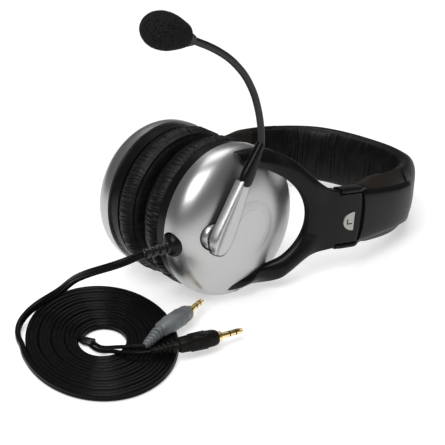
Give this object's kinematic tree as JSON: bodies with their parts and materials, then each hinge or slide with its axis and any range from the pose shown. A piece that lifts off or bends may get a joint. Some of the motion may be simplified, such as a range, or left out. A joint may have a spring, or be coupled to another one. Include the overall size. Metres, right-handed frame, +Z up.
{
  "type": "boom microphone headset",
  "caption": "Over-ear headset with padded headband, folding D-shaped yokes, silver ear cups, a swivelling gooseneck microphone and a coiled lead with split jack plugs.",
  "frame": {"origin": "on the surface the headset lies on, under the middle of its outline without the lead", "axes": "+X from the ear cups to the headband, +Y to the wearer's right, +Z up from the surface"},
  "size_m": [0.3169, 0.1555, 0.1942],
  "materials": {
    "silver_plastic": "satin metallic",
    "silver_badge": "satin metallic",
    "black_plastic": "satin",
    "dark_liner": "matte",
    "leatherette": "soft satin, wrinkled",
    "foam": "open-cell foam",
    "black_cloth": "thin knit",
    "black_rubber": "satin",
    "neck_sheath": "satin",
    "black_cord": "gloss",
    "grey_cord": "semi-gloss",
    "grey_plug": "satin",
    "black_plug": "gloss",
    "gold": "polished",
    "screw_steel": "bright",
    "spring_steel": "satin",
    "magnet_steel": "nickel",
    "diaphragm_film": "clear film",
    "nylon": "natural"
  },
  "bodies": {
    "headband": {"band_cover": "leatherette", "headband_cushion": "leatherette", "spring_strip": "spring_steel", "interconnect_wire": "black_cord"},
    "left_slider": {"left_end_cover": "black_plastic", "left_end_liner": "dark_liner", "left_cover_screws": "screw_steel", "left_hinge_pin": "screw_steel"},
    "left_yoke_arm": {"left_yoke": "black_plastic", "left_badge": "silver_badge", "left_pivot_pins": "screw_steel"},
    "left_cup": {"left_shell": "silver_plastic", "left_pivot_bushes": "nylon", "left_housing": "black_plastic", "left_baffle": "black_plastic", "left_driver_frame": "black_plastic", "left_driver_magnet": "magnet_steel", "left_driver_diaphragm": "diaphragm_film", "left_driver_screws": "screw_steel", "left_damping_foam": "foam", "left_ear_cushion": "leatherette", "left_scrim": "black_cloth", "cable_gland": "black_plastic", "strain_relief": "black_rubber", "lead_cord": "black_cord", "cord_coil": "black_cord", "grey_branch": "grey_cord", "black_branch": "black_cord", "grey_plug_body": "grey_plug", "grey_plug_pin": "gold", "black_plug_body": "black_plug", "black_plug_pin": "gold"},
    "boom": {"boom_hub": "silver_plastic", "boom_clip": "spring_steel", "boom_arm": "silver_plastic", "boom_collar": "black_plastic", "gooseneck": "neck_sheath", "mic_housing": "black_plastic", "mic_capsule": "magnet_steel", "windscreen": "foam"},
    "right_slider": {"right_end_cover": "black_plastic", "right_end_liner": "dark_liner", "right_cover_screws": "screw_steel", "right_hinge_pin": "screw_steel"},
    "right_yoke_arm": {"right_yoke": "black_plastic", "right_badge": "silver_badge", "right_pivot_pins": "screw_steel"},
    "right_cup": {"right_shell": "silver_plastic", "right_pivot_bushes": "nylon", "right_housing": "black_plastic", "right_baffle": "black_plastic", "right_driver_frame": "black_plastic", "right_driver_magnet": "magnet_steel", "right_driver_diaphragm": "diaphragm_film", "right_driver_screws": "screw_steel", "right_damping_foam": "foam", "right_ear_cushion": "leatherette", "right_scrim": "black_cloth", "right_ridge": "silver_plastic"}
  },
  "joints": [
    {"name": "left_length_slide", "type": "slide", "parent": "headband", "child": "left_slider", "axis": [-0.9731, -0.1629, 0.1631], "range_m": [0, 0.02]},
    {"name": "left_fold_hinge", "type": "hinge", "parent": "left_slider", "child": "left_yoke_arm", "pos_m": [0.01539, -0.0635, 0.03709], "axis": [0.1654, 0, 0.9862], "range_deg": [0, 16]},
    {"name": "left_cup_swivel", "type": "hinge", "parent": "left_yoke_arm", "child": "left_cup", "pos_m": [-0.04575, -0.041, 0.04734], "axis": [0.1654, 0, 0.9862], "range_deg": [-5, 5]},
    {"name": "right_length_slide", "type": "slide", "parent": "headband", "child": "right_slider", "axis": [-0.9731, 0.1629, 0.1631], "range_m": [0, 0.02]},
    {"name": "right_fold_hinge", "type": "hinge", "parent": "right_slider", "child": "right_yoke_arm", "pos_m": [0.01539, 0.0635, 0.03709], "axis": [-0.1654, 0, -0.9862], "range_deg": [0, 16]},
    {"name": "right_cup_swivel", "type": "hinge", "parent": "right_yoke_arm", "child": "right_cup", "pos_m": [-0.04575, 0.041, 0.04734], "axis": [0.1654, 0, 0.9862], "range_deg": [-5, 5]},
    {"name": "boom_hinge", "type": "hinge", "parent": "left_cup", "child": "boom", "pos_m": [-0.07682, -0.045, 0.05255], "axis": [0, 1, 0], "range_deg": [-80, 8]}
  ]
}
